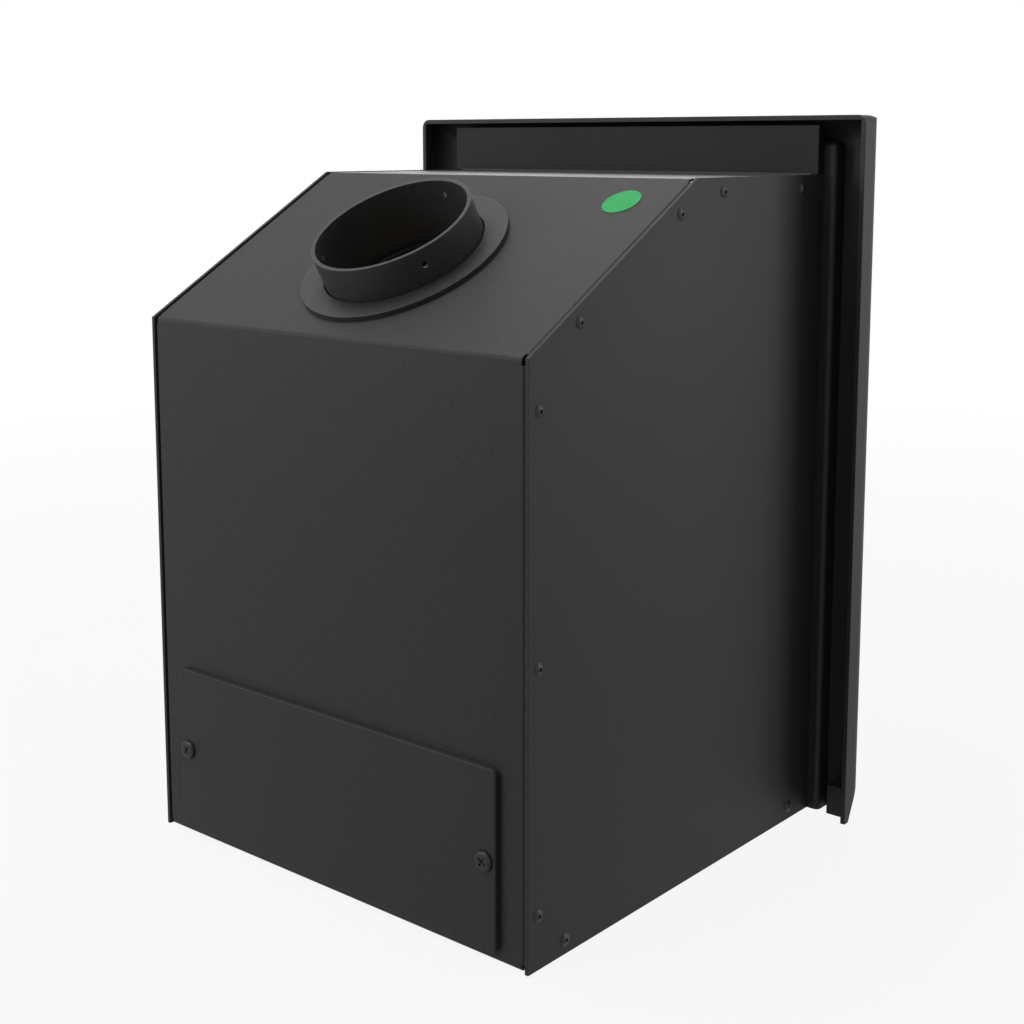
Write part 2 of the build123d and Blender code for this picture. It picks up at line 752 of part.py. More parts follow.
def moulded_body(half, height, low, front, rim, bevel, corner, back):
    """The fascia's outer or inner envelope: a plan and a side profile, mitred where they meet."""
    bow = 1 - cos(radians(45))
    shoulder = front + bow * (-rim - front)
    plan = Polyline((-half, back), (-half, -rim))
    plan += ThreePointArc((-half, -rim), (-half + bow * bevel, shoulder), (-half + bevel, front))
    plan += Line((-half + bevel, front), (half - bevel, front))
    plan += ThreePointArc((half - bevel, front), (half - bow * bevel, shoulder), (half, -rim))
    plan += Polyline((half, -rim), (half, back), (-half, back))
    plan_face = make_face(plan)
    side = Polyline((back, low), (front, low), (front, height - bevel))
    side += ThreePointArc((front, height - bevel), (shoulder, height - bow * bevel), (-rim, height))
    side += Polyline((-rim, height), (back, height), (back, low))
    side_face = Plane.YZ.offset(-half - 1) * make_face(side)
    body = extrude(Plane.XY.offset(low) * plan_face, height - low) & extrude(side_face, 2 * half + 2)
    frame = rounded(-half, half, low - 2 * corner, height, corner)
    return body & front_prism(frame, front - 1, back + 1)


envelope = moulded_body(fascia_half, fascia_height, 0, border_front, rim_side, bevel_width, rim_corner, 0)
fascia = envelope - moulded_body(fascia_half - rim_wall, fascia_height - rim_wall, -1, channel_floor, rim_side + 1,
                                 bevel_width - rim_wall / 2, channel_corner, 1)
foot_pad = block(-fascia_half, foot_pad_width - fascia_half, border_front, -rim_side, 0, foot_pad_height)
fascia += envelope & (foot_pad + mirror(foot_pad, Plane.YZ))
rib = front_prism(rounded(-rib_side, rib_side, -rib_top, rib_top, rib_round), channel_floor - 1, casing_front)
rib = fillet(rib.faces().sort_by(Axis.Y)[-1].edges(), rib_round - free)
rib -= block(-fascia_width, fascia_width, border_front - 1, 1, -2 * rib_top, 0)
fascia += rib
recess_half = rib_side - fascia_skin
recess_top = rib_top - fascia_skin
fascia -= front_prism(rounded(-recess_half, recess_half, -recess_top, recess_top, rib_round), border_front - 1,
                      plate_front)
lip_edges = fascia.edges().filter_by_position(Axis.Y, border_front - 0.1, border_front + 0.1)
lip_edges = lip_edges.filter_by_position(Axis.X, -recess_half - 0.1, recess_half + 0.1)
lip_edges = lip_edges.filter_by_position(Axis.Z, 1, recess_top + 0.1)
fascia = fillet(lip_edges, lip_round)
fascia -= front_prism(rounded(-mouth_half, mouth_half, mouth_low, mouth_high, mouth_corner), plate_front - 1,
                      casing_front + 1)
fascia -= front_prism(rounded(-hatch_half, hatch_half, hatch_low, hatch_high, hatch_corner), plate_front - 1,
                      casing_front + 1)
for index in (-1, 0, 1):
    for height, width, tall in ((warm_height, warm_slot_width, warm_slot_height),
                                (cool_height, cool_slot_width, cool_slot_height)):
        vent = Pos(index * vent_spacing, height) * SlotOverall(width, tall)
        fascia -= front_prism(vent, plate_front - 1, casing_front + 1)
wash_slots = [index * wash_spacing for index in (-2, -1, 1, 2)]
for x in wash_slots:
    slot = Pos(x, wash_height) * SlotOverall(wash_slot_width, wash_slot_height)
    fascia -= front_prism(slot, plate_front - 1, casing_front + 1)
stem_slot = Pos(slider_travel / 2, wash_height) * SlotOverall(slider_travel + 2 * slider_stem + 2 * free,
                                                              2 * slider_stem + 2 * free)
fascia -= front_prism(stem_slot, plate_front - 1, casing_front + 1)
fascia -= pin_y(rod_side, rod_height, rod_radius + running, plate_front - 1, casing_front + 1)
foot = Vector(-fascia_half, -foot_clip_start, 0)
foot_rise = Vector(0, -foot_clip_run, foot_clip_height)
foot_edge = Vector(foot_clip_width, border_front + foot_clip_start, 0)
foot_facet = Plane(origin=foot, x_dir=foot_rise, z_dir=foot_edge.cross(foot_rise))
foot_clip = extrude(foot_facet * Rectangle(6 * foot_clip_height, 6 * foot_clip_height), foot_clip_height)
fascia = fascia - foot_clip - mirror(foot_clip, Plane.YZ)

# Fascia brackets with welded nuts, and the bolts that pull the fascia on to them
angle_brackets = []
fascia_bolts = []
for side in (-1, 1):
    for z in bracket_heights:
        x0, x1 = sorted((side * firebox_half, side * (firebox_half + bracket_reach)))
        bracket = block(x0, x1, casing_front, casing_front + bracket_sheet, z - bracket_height / 2,
                        z + bracket_height / 2)
        x0, x1 = sorted((side * firebox_half, side * (firebox_half + bracket_sheet)))
        bracket += block(x0, x1, casing_front, casing_front + bracket_leg, z - bracket_height / 2,
                         z + bracket_height / 2)
        bolt_x = side * (firebox_half + bracket_reach * 0.7)
        hole = pin_y(bolt_x, z, fascia_bolt + running, border_front, casing_front + bracket_leg)
        fascia -= hole
        nut_low = casing_front + bracket_sheet
        bracket += hexagon_y(bolt_x, z, fascia_bolt * 2, nut_low, nut_low + nut_height)
        angle_brackets.append(bracket - hole)
        bolt = pin_y(bolt_x, z, fascia_bolt, plate_front, nut_low + nut_height + 1)
        head = pin_y(bolt_x, z, fascia_bolt_head, plate_front - fascia_bolt_head_height, plate_front)
        head = fillet(head.faces().sort_by(Axis.Y)[0].edges(), fascia_bolt_head_height * 0.6)
        fascia_bolts.append(bolt + head)
parts["fascia"] = fascia
parts["front_brackets"] = group(angle_brackets)
parts["fascia_bolts"] = group(fascia_bolts)

# Door frame: a casting with a window, a rebate for the glass, a groove for the rope and two hinge knuckles
door = front_prism(rounded(-door_half, door_half, door_low, door_high, door_corner), door_front, door_back)
door = fillet(door.faces().sort_by(Axis.Y)[0].edges(), door_edge_round)
window = front_prism(rounded(-window_half, window_half, window_low, window_high, window_corner),
                     door_front - 1, door_back + 1)
door -= window
bezel_edges = door.edges().filter_by_position(Axis.Y, door_front - 0.1, door_front + 0.1)
bezel_edges = bezel_edges.filter_by_position(Axis.X, -window_half - 0.1, window_half + 0.1)
bezel_edges = bezel_edges.filter_by_position(Axis.Z, window_low - 0.1, window_high + 0.1)
door = chamfer(bezel_edges, door_edge_round * 1.2)
rebate_front = door_back - free - glass_thickness - glass_gasket
glass_half = window_half + glass_lap
glass_low = window_low - glass_lap
glass_high = window_high + glass_lap
door -= front_prism(rounded(-glass_half - glass_clearance, glass_half + glass_clearance,
                            glass_low - glass_clearance, glass_high + glass_clearance, window_corner / 4),
                    rebate_front, door_back + 1)


def seal_ring(half, low, high, offset, width, y0, y1, corner):
    """A rope seal or its groove round an opening."""
    far = offset + width
    ring = rounded(-half - far, half + far, low - far, high + far, corner + far)
    ring -= rounded(-half - offset, half + offset, low - offset, high + offset, corner + offset)
    return front_prism(ring, y0, y1)


door -= seal_ring(mouth_half, mouth_low, mouth_high, rope_inset - free, rope_width + 2 * free,
                  door_back - rope_groove, door_back + 1, door_corner)
door -= pin_y(handle_side, door_middle, shaft_radius + running, door_front - 1, door_back + 1)
door_rope = seal_ring(mouth_half, mouth_low, mouth_high, rope_inset, rope_width, door_back - rope_groove,
                      plate_front - seal_nip, door_corner)
rope_edges = door_rope.faces().sort_by(Axis.Y)[-1].edges()
parts["door_rope_seal"] = fillet(rope_edges, rope_width * 0.3)
brackets = []
pins = []
for z in hinge_heights:
    knuckle_low = z + hinge_ear + free
    knuckle_high = knuckle_low + hinge_height
    knuckle = pin_z(-hinge_side, -hinge_front, hinge_boss, knuckle_low, knuckle_high)
    knuckle += block(-hinge_side, -door_half + hinge_cap, -hinge_front - hinge_pin - hinge_cap,
                     -hinge_front + hinge_pin + hinge_cap, knuckle_low, knuckle_high)
    bore = pin_z(-hinge_side, -hinge_front, hinge_pin + running, z - 1, knuckle_high + 1)
    door = door + knuckle - bore
    ear = pin_z(-hinge_side, -hinge_front, hinge_boss, z, z + hinge_ear)
    ear += block(-hinge_side - hinge_boss, -hinge_side + hinge_boss, -hinge_front, plate_front, z,
                 z + hinge_ear)
    brackets.append(ear - bore)
    pin = pin_z(-hinge_side, -hinge_front, hinge_pin, z, knuckle_high)
    cap_low = knuckle_high + free
    pins.append(pin + pin_z(-hinge_side, -hinge_front, hinge_pin, cap_low - free - 1, cap_low + hinge_cap))
parts["hinge_brackets"] = group(brackets)
parts["hinge_pins"] = group(pins)

# Door glass, its gasket, clips and screws
glass_back = door_back - free
parts["door_glass"] = front_prism(rounded(-glass_half, glass_half, glass_low, glass_high, window_corner / 4),
                                  glass_back - glass_thickness, glass_back)
gasket_ring = rounded(-glass_half, glass_half, glass_low, glass_high, window_corner / 4)
gasket_ring -= rounded(-window_half - 2, window_half + 2, window_low - 2, window_high + 2, window_corner)
parts["glass_gasket"] = front_prism(gasket_ring, rebate_front, glass_back - glass_thickness)
clips = []
clip_screws = []
for x in (-clip_side, clip_side):
    for edge, out in ((glass_low, -1), (glass_high, 1)):
        z0, z1 = sorted((edge - out * clip_reach * 0.8, edge + out * (glass_clearance + clip_reach)))
        screw_z = edge + out * (glass_clearance + clip_reach / 2)
        clip = block(x - clip_width / 2, x + clip_width / 2, door_back, door_back + clip_sheet, z0, z1)
        hole = pin_y(x, screw_z, clip_screw / 2 + running, door_back - clip_screw_length - 1,
                     door_back + clip_sheet + 1)
        clips.append(clip - hole)
        door -= hole
        screw = pin_y(x, screw_z, clip_screw / 2, door_back - clip_screw_length, door_back + clip_sheet)
        clip_screws.append(screw + pin_y(x, screw_z, clip_screw, door_back + clip_sheet,
                                         door_back + clip_sheet + clip_screw_head_height))
parts["door_frame"] = door
parts["glass_clips"] = group(clips)
parts["glass_clip_screws"] = group(clip_screws)

# Handle: a cast lever and a turned grip on a shaft, shown released, with the latch cam pointing up
hub_back = door_front - free
hub_front = hub_back - handle_hub_depth
cam_front = casing_front + keeper_thickness + free
shaft = pin_y(handle_side, door_middle, shaft_radius, hub_front, cam_front + cam_thickness + nut_height)
shaft += pin_y(handle_side, door_middle, shaft_shoulder, door_back + free, cam_front)
parts["handle_shaft"] = shaft
lever_tip = handle_side + handle_length
lever = pin_y(handle_side, door_middle, handle_hub, hub_front, hub_back)
grip_start = lever_tip - grip_length
arm_end = grip_start - free
arm_outline = Polygon((handle_side, door_middle - handle_hub * 0.7), (arm_end, door_middle - lever_half_width),
                      (arm_end, door_middle + lever_half_width), (handle_side, door_middle + handle_hub * 0.7),
                      align=None)
lever += front_prism(arm_outline, hub_front, hub_front + lever_thickness)
lever -= pin_y(handle_side, door_middle, shaft_radius + running, hub_front - 1, hub_back + 1)
grip_y = hub_front + lever_thickness / 2
spindle = pin_x(grip_y, door_middle, spindle_radius, arm_end - 1, lever_tip - 1)
parts["door_handle"] = lever + spindle
grip_profile = Spline((grip_start, grip_radius * 0.7), (grip_start + grip_length * 0.36, grip_radius),
                      (lever_tip - grip_length * 0.22, grip_radius * 0.86), (lever_tip, grip_radius * 0.45))
grip_profile += Polyline((lever_tip, grip_radius * 0.45), (lever_tip, 0), (grip_start, 0),
                         (grip_start, grip_radius * 0.7))
grip = Pos(0, grip_y, door_middle) * revolve(make_face(grip_profile), Axis.X)
parts["handle_grip"] = grip - pin_x(grip_y, door_middle, spindle_radius + running, arm_end - 1, lever_tip - 1)
cam = pin_y(handle_side, door_middle, shaft_radius + 2.5, cam_front, cam_front + cam_thickness)
cam += front_prism(Pos(handle_side, door_middle + cam_reach / 2) * Rectangle(2 * cam_half_width, cam_reach),
                   cam_front, cam_front + cam_thickness)
parts["latch_cam"] = cam - pin_y(handle_side, door_middle, shaft_radius + running, cam_front - 1,
                                 cam_front + cam_thickness + 1)
nut = hexagon_y(handle_side, door_middle, nut_radius, cam_front + cam_thickness,
                cam_front + cam_thickness + nut_height)
parts["latch_nut"] = nut - pin_y(handle_side, door_middle, shaft_radius + running, cam_front,
                                 cam_front + cam_thickness + nut_height + 1)
parts["latch_keeper"] = block(mouth_half + 0.5, firebox_inner_half - 0.5, casing_front,
                              casing_front + keeper_thickness, door_middle - keeper_height / 2,
                              door_middle + keeper_height / 2)

# Ash drawer: a folded pan behind a cast front. Its welded ends are a rear plate and, on either side of the air
# wheel's holes, a front plate
drawer_half = hatch_half + drawer_lap
drawer_low = hatch_low - drawer_lap
drawer_high = hatch_high + drawer_lap
drawer_back = plate_front - drawer_gap
drawer_front_y = drawer_back - drawer_front_thickness
front_plate = front_prism(rounded(-drawer_half, drawer_half, drawer_low, drawer_high, hatch_corner),
                          drawer_front_y, drawer_back)
front_plate = fillet(front_plate.faces().sort_by(Axis.Y)[0].edges(), 3)
front_plate -= seal_ring(hatch_half, hatch_low, hatch_high, 1 - free, seal_width + 2 * free,
                         drawer_back - seal_groove, drawer_back + 1, hatch_corner)
parts["drawer_seal"] = seal_ring(hatch_half, hatch_low, hatch_high, 1, seal_width, drawer_back - seal_groove,
                                 plate_front - seal_nip, hatch_corner)
pan_half = hatch_half - pan_side_gap
pan_low = floor_top + free
pan_high = pan_low + pan_height
pan_back = drawer_back + drawer_pan_length
pan_inner = pan_half - pan_sheet
pan_floor = pan_low + pan_sheet
parts["ash_pan"] = (block(-pan_half, pan_half, drawer_back, pan_back, pan_low, pan_high)
                    - block(-pan_inner, pan_inner, drawer_back - 1, pan_back + 1, pan_floor, pan_high + 1))
parts["ash_pan_ends"] = group([
    block(-pan_inner, pan_inner, pan_back - pan_sheet, pan_back, pan_floor, pan_high),
    block(-pan_inner, -wheel_radius, drawer_back, drawer_back + pan_sheet, pan_floor, pan_high),
    block(wheel_radius, pan_inner, drawer_back, drawer_back + pan_sheet, pan_floor, pan_high)])

# Air wheel on the drawer front: a disc with a finger peg, whose holes turn over matching holes
drawer_middle = (drawer_low + drawer_high) / 2
wheel_back = drawer_front_y - free
wheel_front = wheel_back - wheel_thickness
wheel = pin_y(0, drawer_middle, wheel_radius, wheel_front, wheel_back)
wheel = fillet(wheel.faces().sort_by(Axis.Y)[0].edges(), 1.5)
for index in range(wheel_holes):
    angle = radians(45 + 360 / wheel_holes * index)
    x = wheel_hole_circle * cos(angle)
    z = drawer_middle + wheel_hole_circle * sin(angle)
    hole = pin_y(x, z, wheel_hole, wheel_front - 1, drawer_back + 1)
    wheel -= hole
    front_plate -= hole
bolt_hole = pin_y(0, drawer_middle, wheel_bolt + running, wheel_front - 1, drawer_back + 1)
wheel -= bolt_hole
front_plate -= bolt_hole
wheel_knob = pin_y(0, drawer_middle + wheel_hole_circle + 2, wheel_knob_radius, wheel_front - wheel_knob_length,
                   wheel_front)
wheel += fillet(wheel_knob.faces().sort_by(Axis.Y)[0].edges(), 1.5)
parts["air_wheel"] = wheel
bolt_head_back = wheel_front - free
bolt = pin_y(0, drawer_middle, wheel_bolt, bolt_head_back, drawer_back)
head = pin_y(0, drawer_middle, wheel_bolt_head, bolt_head_back - 4, bolt_head_back)
parts["air_wheel_bolt"] = bolt + fillet(head.faces().sort_by(Axis.Y)[0].edges(), 2)
drawer_knobs = []
for side in (-1, 1):
    x = side * drawer_knob_side
    ball_front = drawer_front_y - drawer_knob_length
    stem = pin_y(x, drawer_middle, drawer_knob_radius * 0.4, ball_front + drawer_knob_round, drawer_front_y)
    ball = pin_y(x, drawer_middle, drawer_knob_radius, ball_front, ball_front + drawer_knob_thickness)
    drawer_knobs.append(stem + fillet(ball.edges(), drawer_knob_round))
parts["drawer_knobs"] = group(drawer_knobs)
parts["drawer_front"] = front_plate

# Airwash slider: a slotted strip behind the fascia, moved by a knob over the door
slider_front = casing_front + free
slider_low = wash_height - slider_height / 2
slider_high = wash_height + slider_height / 2
slider_half = wash_slots[-1] + wash_spacing / 2
slider = block(-slider_half, slider_half, slider_front, slider_front + slider_sheet, slider_low, slider_high)
for x in wash_slots:
    slot = Pos(x, wash_height) * SlotOverall(wash_slot_width, wash_slot_height)
    slider -= front_prism(slot, slider_front - 1, slider_front + slider_sheet + 1)
parts["airwash_slider"] = slider
knob_front = door_front + 2
slider_knob = pin_y(0, wash_height, slider_knob_radius, knob_front, knob_front + slider_knob_length)
slider_knob = fillet(slider_knob.edges(), 2)
parts["slider_knob"] = slider_knob + pin_y(0, wash_height, slider_stem, knob_front + slider_knob_length - 1,
                                           slider_front)
guides = []
guide_half = slider_half + slider_travel + 4
guide_back = slider_front + slider_sheet + free + guide_lip
for z, out in ((slider_low - free, -1), (slider_high + free, 1)):
    z0, z1 = sorted((z, z + out * guide_height))
    guide = block(-guide_half, guide_half, casing_front, guide_back, z0, z1)
    z0, z1 = sorted((z - out * 2 * guide_lip, z))
    guide += block(-guide_half, guide_half, guide_back - guide_lip, guide_back, z0, z1)
    guides.append(guide)
parts["slider_guides"] = group(guides)

os.makedirs("parts", exist_ok=True)
for name, shape in parts.items():
    export_step(shape, f"parts/{name}.step")
print(len(parts), "nodes")
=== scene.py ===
from math import cos, hypot, pi, radians, sin, tau

import bpy
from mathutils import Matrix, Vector


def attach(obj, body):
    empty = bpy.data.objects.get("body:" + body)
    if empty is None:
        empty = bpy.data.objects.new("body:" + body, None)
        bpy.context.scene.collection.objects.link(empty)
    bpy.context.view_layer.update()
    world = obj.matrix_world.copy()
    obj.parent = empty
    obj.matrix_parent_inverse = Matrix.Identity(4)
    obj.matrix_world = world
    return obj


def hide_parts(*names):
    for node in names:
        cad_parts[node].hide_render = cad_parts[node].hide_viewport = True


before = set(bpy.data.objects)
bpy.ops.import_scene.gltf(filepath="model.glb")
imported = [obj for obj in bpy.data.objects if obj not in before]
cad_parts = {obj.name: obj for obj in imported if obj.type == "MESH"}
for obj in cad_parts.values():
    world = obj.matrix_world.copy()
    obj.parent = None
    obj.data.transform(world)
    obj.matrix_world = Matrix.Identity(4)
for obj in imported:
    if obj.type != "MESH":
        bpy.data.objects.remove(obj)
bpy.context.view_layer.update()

# The casing: one steel sheet folded into back, slope and top, two side panels screwed to it, a tray below and a
# cover over the air inlet. All of it is sheet steel, sprayed with the same fine-textured charcoal powder coat, with
# a painted highlight along its edges. The flange that stands up behind the fascia gets painted shade, a darker tone.


class Shade:
    """A socket of a material. Sums on it add Math nodes, and node() adds any other node."""

    def __init__(self, tree, socket=None):
        self.tree = tree
        self.socket = socket

    def node(self, kind, settings=None, sockets=None, output=0):
        """Adds a node: its settings first, then the values or links of its sockets."""
        added = self.tree.nodes.new("ShaderNode" + kind)
        for name, value in (settings or {}).items():
            setattr(added, name, value)
        for name, value in (sockets or {}).items():
            if isinstance(value, Shade):
                self.tree.links.new(value.socket, added.inputs[name])
            else:
                added.inputs[name].default_value = value
        return Shade(self.tree, added.outputs[output])

    def __add__(self, other):
        return self.node("Math", {"operation": "ADD"}, {0: self, 1: other})

    def __rsub__(self, other):
        return self.node("Math", {"operation": "SUBTRACT"}, {0: other, 1: self})

    def __mul__(self, other):
        return self.node("Math", {"operation": "MULTIPLY"}, {0: self, 1: other})

    __radd__ = __add__
    __rmul__ = __mul__


def new_finish(name, fixed):
    """A material with the values that are the same all over it, and its coordinates in metres."""
    material = bpy.data.materials.new(name)
    material.use_nodes = True
    shader = material.node_tree.nodes["Principled BSDF"]
    for socket, value in fixed.items():
        shader.inputs[socket].default_value = value
    return material, Shade(material.node_tree).node("TexCoord", output="Object")


def vary(material, **sockets):
    """Links what changes over the surface to the shader's sockets, named with _ for a space."""
    shader = material.node_tree.nodes["Principled BSDF"]
    for name, value in sockets.items():
        material.node_tree.links.new(value.socket, shader.inputs[name.replace("_", " ")])
    return material


def noise(place, per_metre, detail=2.0):
    """Soft mottling from 0 to 1, with about so many patches in a metre."""
    return place.node("TexNoise", None, {"Vector": place, "Scale": per_metre, "Detail": detail})


def stretched(place, x, y, z):
    """Coordinates scaled by axis, for grain that runs one way."""
    return place.node("Mapping", None, {"Vector": place, "Scale": (x, y, z)})


def ramp(value, low, high):
    """0 below low, 1 above high and a straight line between."""
    return value.node("MapRange", None, {"Value": value, "From Min": low, "From Max": high})


def mixed(share, first, second):
    """A colour between two others."""
    return share.node("Mix", {"data_type": "RGBA"}, {0: share, 6: first, 7: second}, 2)


def grey(level, warmth=0.0):
    """A plain grey, a little warmer than neutral if asked."""
    return (level * (1 + warmth), level, level * (1 - warmth), 1)


def bumped(height, depth, strength=1.0, normal=None):
    """A normal from a height in the range 0 to 1, with its depth in metres."""
    sockets = {"Height": height, "Distance": depth, "Strength": strength}
    if normal:
        sockets["Normal"] = normal
    return height.node("Bump", None, sockets)


def edge_of(place, radius):
    """The normal of a slightly rounded edge, and how near the edge is, from 0 to 1."""
    soft = place.node("Bevel", {"samples": 4}, {"Radius": radius})
    true = place.node("NewGeometry", output="Normal")
    along = soft.node("VectorMath", {"operation": "DOT_PRODUCT"}, {0: soft, 1: true}, "Value")
    return soft, ramp(1 - along, 0.01, 0.25)


def dress(material, *names):
    """Gives a finish to nodes of the frame."""
    for name in names:
        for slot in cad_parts[name].material_slots:
            slot.material = material


grain_per_metre, peel_per_metre, cloud_per_metre = 1150, 420, 5.5
thin_coat, full_coat, painted_edge_highlight, painted_flange_shade = 0.037, 0.016, 0.08, 0.0048
flange_foot, flange_blend = 0.5496, 0.0005
casing_coat, place = new_finish("casing_powder_coat", {"Specular IOR Level": 0.15})
grain = noise(place, grain_per_metre, 3)
peel = noise(place, peel_per_metre)
cloud = noise(place, cloud_per_metre, 3)
soft, edge = edge_of(place, 0.0009)
speckle = ramp(grain, 0.3, 0.72)
tone = mixed(speckle * 0.6 + cloud * 0.4, grey(full_coat), grey(thin_coat))
# Painted highlight: the coat is mixed towards a lighter grey near every edge.
tone = mixed(edge * 0.5, tone, grey(painted_edge_highlight))
height = place.node("SeparateXYZ", None, {"Vector": place}, "Z")
# Painted shade: above the flange's foot the coat turns to a near-black grey, for the shade behind the fascia.
flange_shade_mask = ramp(height, flange_foot, flange_foot + flange_blend)
vary(casing_coat,
     Base_Color=mixed(flange_shade_mask * 0.85, tone, grey(painted_flange_shade)),
     Roughness=0.5 + 0.14 * cloud + -0.08 * speckle,
     Normal=bumped(grain * 0.6 + peel * 0.4, 0.00022, 0.55, soft))
dress(casing_coat, "casing_wrap", "left_side_panel", "right_side_panel", "base_tray", "rear_access_cover")

# The casing's fixings: button-head socket screws in the side panels, two large cross-head screws in the cover and
# the bolts of the fascia. All are steel, blackened and lightly oiled, and worn a little at the rims of their heads.
screw_black, place = new_finish("blackened_screw_steel", {"Metallic": 0.75, "Specular IOR Level": 0.4})
soft, edge = edge_of(place, 0.0004)
blotch = noise(place, 260, 3)
tone = mixed(blotch, grey(0.021), grey(0.0364, 0.02))
vary(screw_black,
     Base_Color=mixed(edge * ramp(blotch, 0.4, 0.65), tone, grey(0.1)),
     Roughness=0.34 + 0.2 * blotch,
     Normal=bumped(noise(place, 1800), 0.00005, 0.5, soft))
dress(screw_black, "side_panel_screws", "access_cover_screws", "fascia_bolts")

# The firebox: 5 mm plate, welded and then sprayed with matt heat paint, standing on two floor runners. The paint
# is chalky, with a greyer bloom where it has been handled and a fine dust of scale towards the bottom.
matt_heat_paint, place = new_finish("matt_heat_paint", {"Specular IOR Level": 0.18})
spray = noise(place, 620, 3)
bloom = ramp(noise(place, 9, 4), 0.42, 0.7)
vary(matt_heat_paint,
     Base_Color=mixed(bloom * 0.6 + spray * 0.3, grey(0.017), grey(0.055, 0.03)),
     Roughness=0.78 + 0.12 * bloom,
     Normal=bumped(spray, 0.00025, 0.6))
dress(matt_heat_paint, "firebox_left_side", "firebox_right_side", "firebox_floor", "firebox_top", "firebox_back",
      "grate_shelf", "floor_runners", "brick_retainers", "throat_supports", "airwash_deflector", "grate_runners")

# The fillet welds along the ash bay, between side plates and floor below and shelf above. Each is a run of small
# overlapping scallops laid down by a wire torch, stitched in lengths and painted over with the plates.
bay_half = 0.167
bay_floor, bay_ceiling = 0.029, 0.113
weld_leg = 0.0035
bead_middle, bead_radius = 0.28 * weld_leg, 0.52 * weld_leg
bead_sides = 8
ripple = 0.0022
steps_in_scallop = 5
scallop_drop = 0.2
start_size, start_growth = 0.45, 8
stitch_starts = (0.012, 0.122, 0.232)
stitch_length = 0.075


def mesh_piece(name, points, faces, material, body):
    """A smooth mesh object in the frame, in metres, that moves with a body."""
    mesh = bpy.data.meshes.new(name)
    mesh.from_pydata(points, [], faces)
    mesh.materials.append(material)
    mesh.shade_smooth()
    piece = bpy.data.objects.new(name, mesh)
    bpy.context.scene.collection.objects.link(piece)
    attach(piece, body)
    return piece


def tube_faces(start, rings, sides, closed):
    """Quads between rings of points, the last ring joined to the first if it is closed, or else capped."""
    faces = []
    for ring in range(rings if closed else rings - 1):
        here = start + ring * sides
        following = start + (ring + 1) % rings * sides
        for side in range(sides):
            beside = (side + 1) % sides
            faces.append((here + side, here + beside, following + beside, following + side))
    if not closed:
        faces.append(tuple(start + side for side in reversed(range(sides))))
        faces.append(tuple(start + (rings - 1) * sides + side for side in range(sides)))
    return faces


def scalloped_bead(points, faces, corner_x, corner_z, up, start):
    """One stitch of weld along y in the corner at (corner_x, corner_z)."""
    rings = round(stitch_length / ripple) * steps_in_scallop
    inward = -1 if corner_x > 0 else 1
    faces += tube_faces(len(points), rings, bead_sides, False)
    for ring in range(rings):
        along = ring / (rings - 1)
        size = 1 - scallop_drop * (ring % steps_in_scallop) / steps_in_scallop
        size *= min(1, start_size + start_growth * along, start_size + start_growth * (1 - along))
        for side in range(bead_sides):
            angle = tau * side / bead_sides
            x = corner_x + inward * size * (bead_middle + bead_radius * cos(angle))
            z = corner_z + up * size * (bead_middle + bead_radius * sin(angle))
            points.append((x, start + along * stitch_length, z))


weld_points, weld_faces = [], []
for corner_x in (-bay_half, bay_half):
    for start in stitch_starts:
        scalloped_bead(weld_points, weld_faces, corner_x, bay_floor, 1, start)
        scalloped_bead(weld_points, weld_faces, corner_x, bay_ceiling, -1, start)
mesh_piece("ash_bay_welds", weld_points, weld_faces, matt_heat_paint, "stove_body")

# The fire bricks and the throat plate: pressed insulating board of vermiculite, pale buff with golden flecks, held
# loose by the retainers and the throat supports. The faces are pitted and crumble slightly at the edges.
fire_brick, place = new_finish("pressed_fire_brick", {"Specular IOR Level": 0.2})
flake = place.node("TexVoronoi", None, {"Vector": place, "Scale": 330}, "Color")
flake = flake.node("SeparateColor", None, {"Color": flake})
pit = ramp(noise(place, 210, 4), 0.34, 0.5)
soft, crumbled = edge_of(place, 0.003)
buff = mixed(flake, (0.40, 0.31, 0.20, 1), (0.72, 0.62, 0.46, 1))
buff = mixed(ramp(noise(place, 14, 3), 0.35, 0.7) * 0.45, buff, (0.30, 0.25, 0.19, 1))
vary(fire_brick,
     Base_Color=mixed(crumbled * 0.4, buff, (0.80, 0.72, 0.58, 1)),
     Roughness=0.82 + 0.1 * flake,
     Normal=bumped(pit * 0.7 + flake * 0.3, 0.0007, 0.8, soft))
dress(fire_brick, "rear_fire_brick", "left_fire_brick", "right_fire_brick", "throat_plate")

# The zinc-plated parts: the air duct on the firebox's back, the fascia's brackets and nuts, the clips of the glass
# and the slider with its guides. They are cut from plated sheet, with a faint bluish spangle and dull patches.
zinc_plate, place = new_finish("zinc_plated_sheet", {"Metallic": 1.0})
spangle = place.node("TexVoronoi", None, {"Vector": place, "Scale": 160}, "Color")
spangle = spangle.node("SeparateColor", None, {"Color": spangle})
dull = noise(place, 30, 3)
vary(zinc_plate,
     Base_Color=mixed(spangle * 0.5 + dull * 0.5, (0.36, 0.38, 0.40, 1), (0.62, 0.64, 0.66, 1)),
     Roughness=0.3 + 0.2 * dull + 0.08 * spangle,
     Normal=bumped(noise(place, 700), 0.00006, 0.4))
dress(zinc_plate, "rear_air_duct", "front_brackets", "glass_clips", "glass_clip_screws", "latch_nut",
      "airwash_slider", "slider_guides", "collar_bolts")

